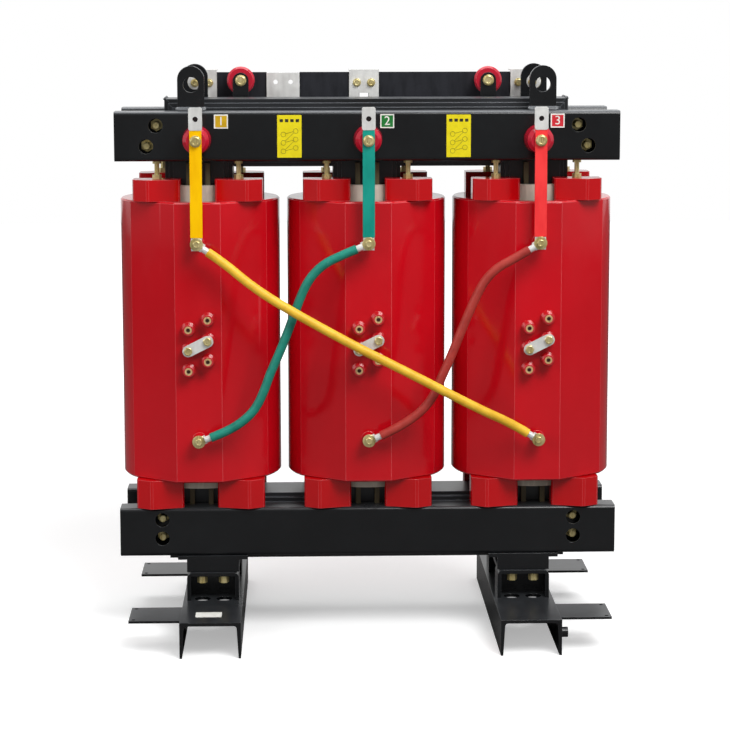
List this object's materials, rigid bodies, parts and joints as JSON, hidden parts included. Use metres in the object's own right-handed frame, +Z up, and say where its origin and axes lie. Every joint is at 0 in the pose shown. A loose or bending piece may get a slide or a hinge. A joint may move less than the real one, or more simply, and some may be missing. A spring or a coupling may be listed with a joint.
{
  "type": "dry type transformer",
  "caption": "Open cast-resin dry type transformer: red coils on a black stepped core and frame, coloured delta leads, flat terminal bars and a channel base.",
  "frame": {"origin": "on the floor under the middle limb, midway between the ends of the base channels", "axes": "+Z up, +X along the row of coils to the right seen from the high-voltage side, -Y out of the high-voltage front"},
  "size_m": [1.05, 0.624, 1.2029],
  "materials": {
    "coil_resin": "glossy cast resin, red",
    "block_resin": "glossy moulded resin, red",
    "insulator_resin": "glossy moulded resin, crimson",
    "lv_resin": "pale resin-bonded winding, satin",
    "core_paint": "black core varnish, satin",
    "stick_resin": "glass-fibre laminate, matt",
    "frame_paint": "black enamel, semi-gloss",
    "zinc": "yellow zinc plating, satin",
    "tinned": "tinned copper, satin",
    "insert_brass": "turned brass",
    "bar_black": "black shrink sleeve, semi-gloss",
    "sleeve_yellow": "yellow shrink sleeve, semi-gloss",
    "sleeve_green": "blue-green shrink sleeve, semi-gloss",
    "sleeve_red": "coral red shrink sleeve, semi-gloss",
    "lead_yellow": "yellow silicone, satin",
    "lead_green": "blue-green silicone, satin",
    "lead_red": "brown-red silicone, satin"
  },
  "bodies": {
    "root": {"core_stack": "core_paint", "core_top_yoke": "core_paint", "core_spacer_sticks": "stick_resin", "hv_coil_a": "coil_resin", "lv_coil_a": "lv_resin", "upper_support_blocks_a": "block_resin", "lower_support_blocks_a": "block_resin", "lv_neutral_riser_a": "tinned", "lv_phase_bar_a": "tinned", "hv_coil_b": "coil_resin", "lv_coil_b": "lv_resin", "upper_support_blocks_b": "block_resin", "lower_support_blocks_b": "block_resin", "lv_neutral_riser_b": "tinned", "lv_phase_bar_b": "tinned", "hv_coil_c": "coil_resin", "lv_coil_c": "lv_resin", "upper_support_blocks_c": "block_resin", "lower_support_blocks_c": "block_resin", "lv_neutral_riser_c": "tinned", "lv_phase_bar_c": "tinned", "hv_bar_sleeve_a": "sleeve_yellow", "hv_bar_sleeve_b": "sleeve_green", "hv_bar_sleeve_c": "sleeve_red", "jack_bolts": "zinc", "tie_rods": "zinc", "foot_nuts": "zinc", "insulator_bolts": "zinc", "link_screws": "zinc", "terminal_bolts": "zinc", "neutral_joint_bolts": "zinc", "upper_clamp_front": "frame_paint", "upper_clamp_back": "frame_paint", "lower_clamp_front": "frame_paint", "lower_clamp_back": "frame_paint", "lifting_lugs_front": "frame_paint", "lifting_lugs_back": "frame_paint", "base_channel_left": "frame_paint", "base_channel_right": "frame_paint", "foot_beam_left": "frame_paint", "foot_beam_right": "frame_paint", "pedestals_left": "frame_paint", "pedestals_right": "frame_paint", "side_plates": "frame_paint", "earth_boss": "frame_paint", "insulator_tabs": "frame_paint", "hv_busbars": "tinned", "tap_links": "tinned", "lead_lugs": "tinned", "neutral_outlet": "tinned", "tap_inserts": "insert_brass", "post_insulators": "insulator_resin", "delta_lead_yellow": "lead_yellow", "delta_lead_green": "lead_green", "delta_lead_red": "lead_red", "neutral_bars": "bar_black", "neutral_bar_sleeves": "bar_black"}
  },
  "joints": []
}
